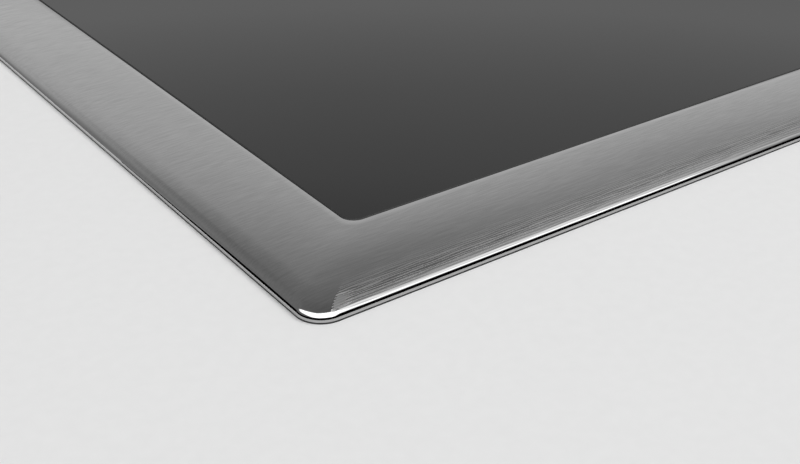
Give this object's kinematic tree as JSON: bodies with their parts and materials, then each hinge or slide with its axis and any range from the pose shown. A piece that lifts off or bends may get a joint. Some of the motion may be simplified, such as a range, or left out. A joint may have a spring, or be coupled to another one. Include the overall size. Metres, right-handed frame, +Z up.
{
  "type": "induction cooktop",
  "caption": "Built-in electric induction cooktop: a black glass plate flush in a wide crowned brushed-steel frame, with floating coils, fans, boards and worktop clamps in a steel box.",
  "frame": {"origin": "centre of the frame, on the worktop plane under its lip", "axes": "+X right along the front edge, +Y towards the back, +Z up"},
  "size_m": [0.762, 0.533, 0.09],
  "materials": {
    "brushed_steel": "brushed along the front edge",
    "black_glass": "polished, opaque black",
    "black_rubber": "matte",
    "zinc_steel": "zinc coated sheet",
    "bright_steel": "bright zinc",
    "aluminium": "mill finish",
    "spring_steel": "drawn wire",
    "former_plastic": "moulded",
    "copper_litz": "enamelled copper strands",
    "ferrite": "sintered",
    "mica": "pressed mica sheet",
    "pale_plastic": "moulded",
    "black_plastic": "moulded",
    "circuit_board": "solder mask",
    "capacitor_case": "moulded case",
    "pad_foam": "conductive foam",
    "wire_sleeve": "silicone sleeve"
  },
  "bodies": {
    "chassis": {"base_pan": "zinc_steel", "board_screws": "bright_steel", "cable_inlet": "black_plastic", "chassis_screws": "bright_steel", "clamp_bracket_left": "zinc_steel", "clamp_bracket_right": "zinc_steel", "coil_springs_front_left": "spring_steel", "coil_springs_front_right": "spring_steel", "coil_springs_rear_left": "spring_steel", "coil_springs_rear_right": "spring_steel", "coil_tray_left": "aluminium", "coil_tray_right": "aluminium", "control_board": "circuit_board", "control_carrier": "black_plastic", "fan_frame_left": "black_plastic", "fan_frame_right": "black_plastic", "film_capacitors": "capacitor_case", "filter_board": "circuit_board", "filter_chokes": "ferrite", "floor_tray": "black_plastic", "glass_bond": "black_rubber", "glass_plate": "black_glass", "heatsink_left": "aluminium", "heatsink_right": "aluminium", "mains_wires": "wire_sleeve", "number_displays": "black_plastic", "power_board_left": "circuit_board", "power_board_right": "circuit_board", "power_transistors": "black_plastic", "terminal_block": "pale_plastic", "terminal_cover": "zinc_steel", "touch_pads": "pad_foam", "trim_frame": "brushed_steel", "worktop_seal": "black_rubber"},
    "fan_rotor_left": {"fan_rotor_left": "black_plastic"},
    "clamp_pad_left": {"clamp_pad_left": "black_plastic"},
    "clamp_screw_left": {"clamp_screw_left": "bright_steel"},
    "fan_rotor_right": {"fan_rotor_right": "black_plastic"},
    "clamp_pad_right": {"clamp_pad_right": "black_plastic"},
    "clamp_screw_right": {"clamp_screw_right": "bright_steel"},
    "coil_front_left": {"coil_former_front_left": "former_plastic", "coil_winding_front_left": "copper_litz", "ferrite_bars_front_left": "ferrite", "mica_disc_front_left": "mica", "heat_sensor_front_left": "pale_plastic"},
    "coil_rear_left": {"coil_former_rear_left": "former_plastic", "coil_winding_rear_left": "copper_litz", "ferrite_bars_rear_left": "ferrite", "mica_disc_rear_left": "mica", "heat_sensor_rear_left": "pale_plastic"},
    "coil_front_right": {"coil_former_front_right": "former_plastic", "coil_winding_front_right": "copper_litz", "ferrite_bars_front_right": "ferrite", "mica_disc_front_right": "mica", "heat_sensor_front_right": "pale_plastic"},
    "coil_rear_right": {"coil_former_rear_right": "former_plastic", "coil_winding_rear_right": "copper_litz", "ferrite_bars_rear_right": "ferrite", "mica_disc_rear_right": "mica", "heat_sensor_rear_right": "pale_plastic"}
  },
  "joints": [
    {"name": "fan_left_spin", "type": "hinge", "parent": "chassis", "child": "fan_rotor_left", "pos_m": [-0.2305, -0.149, -0.07], "axis": [0, 0, 1], "continuous": true},
    {"name": "fan_right_spin", "type": "hinge", "parent": "chassis", "child": "fan_rotor_right", "pos_m": [0.2305, -0.149, -0.07], "axis": [0, 0, 1], "continuous": true},
    {"name": "coil_front_left_float", "type": "slide", "parent": "chassis", "child": "coil_front_left", "axis": [0, 0, 1], "range_m": [-0.003, 0], "stiffness_N_per_m": 5000, "springref_m": 0.005, "deforming": ["coil_springs_front_left"]},
    {"name": "coil_rear_left_float", "type": "slide", "parent": "chassis", "child": "coil_rear_left", "axis": [0, 0, 1], "range_m": [-0.003, 0], "stiffness_N_per_m": 5000, "springref_m": 0.005, "deforming": ["coil_springs_rear_left"]},
    {"name": "coil_front_right_float", "type": "slide", "parent": "chassis", "child": "coil_front_right", "axis": [0, 0, 1], "range_m": [-0.003, 0], "stiffness_N_per_m": 5000, "springref_m": 0.005, "deforming": ["coil_springs_front_right"]},
    {"name": "coil_rear_right_float", "type": "slide", "parent": "chassis", "child": "coil_rear_right", "axis": [0, 0, 1], "range_m": [-0.003, 0], "stiffness_N_per_m": 5000, "springref_m": 0.005, "deforming": ["coil_springs_rear_right"]},
    {"name": "clamp_left_lift", "type": "slide", "parent": "chassis", "child": "clamp_pad_left", "axis": [0, 0, 1], "range_m": [0, 0.022]},
    {"name": "clamp_left_turn", "type": "hinge", "parent": "clamp_pad_left", "child": "clamp_screw_left", "pos_m": [-0.369, 0, -0.06], "axis": [0, 0, 1], "range_deg": [0, 7920]},
    {"name": "clamp_right_lift", "type": "slide", "parent": "chassis", "child": "clamp_pad_right", "axis": [0, 0, 1], "range_m": [0, 0.022]},
    {"name": "clamp_right_turn", "type": "hinge", "parent": "clamp_pad_right", "child": "clamp_screw_right", "pos_m": [0.369, 0, -0.06], "axis": [0, 0, 1], "range_deg": [0, 7920]}
  ],
  "couplings": [
    {"joint": "clamp_left_lift", "follows": "clamp_left_turn", "m_per_rad": 0.00015915},
    {"joint": "clamp_right_lift", "follows": "clamp_right_turn", "m_per_rad": 0.00015915}
  ]
}
